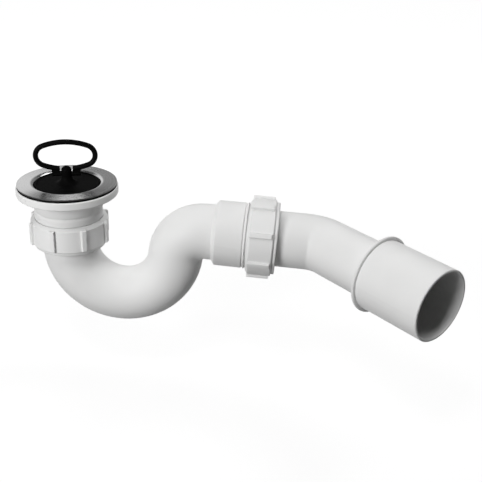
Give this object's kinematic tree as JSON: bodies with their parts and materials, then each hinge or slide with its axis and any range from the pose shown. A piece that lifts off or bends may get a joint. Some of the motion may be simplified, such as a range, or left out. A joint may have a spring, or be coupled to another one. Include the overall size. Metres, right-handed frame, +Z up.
{
  "type": "shower tray trap",
  "caption": "Shower tray trap: steel flanged waste with push-in plug and pull ring, U-bend water seal on ribbed union nuts, and an angled outlet bend with a larger spigot.",
  "frame": {"origin": "on the inlet axis, in the plane under the steel rim where the tray is clamped", "axes": "+Z up along the inlet axis, +X along the outlet run of the trap"},
  "size_m": [0.3102, 0.1294, 0.1377],
  "materials": {
    "white_plastic": "satin moulded polypropylene",
    "stainless": "satin",
    "screw_steel": "turned",
    "seal_rubber": "matt",
    "brass": "plain",
    "black_rubber": "matt",
    "black_plastic": "semi-gloss"
  },
  "bodies": {
    "waste": {"waste_flange": "stainless", "flange_screw": "screw_steel", "flange_gasket": "seal_rubber", "waste_body": "white_plastic", "screw_insert": "brass", "inlet_cone_washer": "seal_rubber"},
    "plug": {"plug": "black_rubber"},
    "ring": {"plug_ring": "black_plastic"},
    "inlet_nut": {"inlet_nut": "white_plastic"},
    "trap": {"trap_bend": "white_plastic", "outlet_cone_washer": "seal_rubber"},
    "outlet_nut": {"outlet_nut": "white_plastic"},
    "outlet": {"outlet_bend": "white_plastic"}
  },
  "joints": [
    {"name": "plug_lift", "type": "slide", "parent": "waste", "child": "plug", "axis": [0, 0, 1], "range_m": [0, 0.05]},
    {"name": "ring_fold", "type": "hinge", "parent": "plug", "child": "ring", "pos_m": [0, 0, 0.0067], "axis": [0.9763, 0.2164, 0], "range_deg": [-96, 96]},
    {"name": "inlet_nut_turn", "type": "hinge", "parent": "waste", "child": "inlet_nut", "pos_m": [0, 0, -0.0404], "axis": [0, 0, 1], "continuous": true},
    {"name": "trap_swivel", "type": "hinge", "parent": "waste", "child": "trap", "pos_m": [0, 0, -0.0404], "axis": [0, 0, 1], "continuous": true},
    {"name": "outlet_nut_turn", "type": "hinge", "parent": "trap", "child": "outlet_nut", "pos_m": [0.14572, 0, -0.03324], "axis": [0.999, 0, -0.0436], "continuous": true},
    {"name": "outlet_swivel", "type": "hinge", "parent": "trap", "child": "outlet", "pos_m": [0.14572, 0, -0.03324], "axis": [0.999, 0, -0.0436], "continuous": true}
  ]
}
